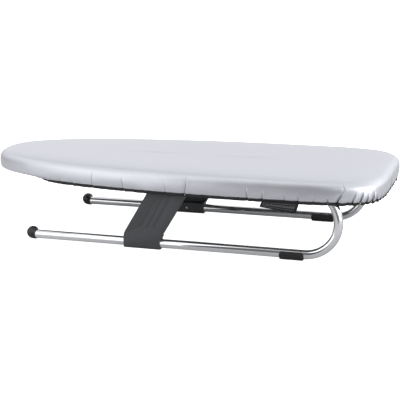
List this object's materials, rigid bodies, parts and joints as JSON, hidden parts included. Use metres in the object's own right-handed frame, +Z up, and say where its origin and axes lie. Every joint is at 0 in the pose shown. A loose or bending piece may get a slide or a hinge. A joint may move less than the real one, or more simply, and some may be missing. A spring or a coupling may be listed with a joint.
{
  "type": "table-top ironing board",
  "caption": "Small ironing board that stands on a table on two bent-tube legs, which hinge under the padded board and fold flat.",
  "frame": {"origin": "on the table, under the middle of the board's length and width", "axes": "+X along the board from the nose to the broad end, +Y across it to the far leg, +Z up out of the ironing surface"},
  "size_m": [0.75, 0.31, 0.1441],
  "materials": {
    "cover_cloth": "silver metallised woven cloth, soft sheen",
    "foam": "open foam underlay",
    "hem_cloth": "black woven elastic binding",
    "elastic_cord": "elastic band inside the hem",
    "label_cloth": "black woven label",
    "deck_steel": "grey powder coat",
    "rim_steel": "grey powder coat",
    "rail_steel": "grey powder coat",
    "saddle_plastic": "moulded nylon",
    "strap_steel": "zinc plated",
    "screw_steel": "zinc plated",
    "tube_chrome": "bright chrome plate",
    "strut_plastic": "fine moulded grain, charcoal",
    "ball_plastic": "smooth black",
    "foot_rubber": "matt black",
    "plug_plastic": "matt black",
    "ring_steel": "zinc plated"
  },
  "bodies": {
    "board": {"cover": "cover_cloth", "pad_top": "foam", "pad_side": "foam", "hem": "hem_cloth", "elastic": "elastic_cord", "label": "label_cloth", "deck": "deck_steel", "rim": "rim_steel", "rail_near": "rail_steel", "rail_far": "rail_steel", "saddle_near_a": "saddle_plastic", "saddle_near_b": "saddle_plastic", "saddle_far_a": "saddle_plastic", "saddle_far_b": "saddle_plastic", "strap_near_a": "strap_steel", "strap_near_b": "strap_steel", "strap_far_a": "strap_steel", "strap_far_b": "strap_steel", "strap_screws": "screw_steel"},
    "leg_near": {"tube_near": "tube_chrome", "strut_near": "strut_plastic", "strut_screws_near": "screw_steel", "ball_near": "ball_plastic", "foot_near": "foot_rubber", "plug_near": "plug_plastic", "ring_near_a": "ring_steel", "ring_near_b": "ring_steel"},
    "leg_far": {"tube_far": "tube_chrome", "strut_far": "strut_plastic", "strut_screws_far": "screw_steel", "ball_far": "ball_plastic", "foot_far": "foot_rubber", "plug_far": "plug_plastic", "ring_far_a": "ring_steel", "ring_far_b": "ring_steel"}
  },
  "joints": [
    {"name": "near_leg_fold", "type": "hinge", "parent": "board", "child": "leg_near", "pos_m": [0.155, -0.128, 0.1265], "axis": [1, 0, 0], "range_deg": [0, 90]},
    {"name": "far_leg_fold", "type": "hinge", "parent": "board", "child": "leg_far", "pos_m": [0.155, 0.128, 0.1265], "axis": [-1, 0, 0], "range_deg": [0, 90]}
  ]
}
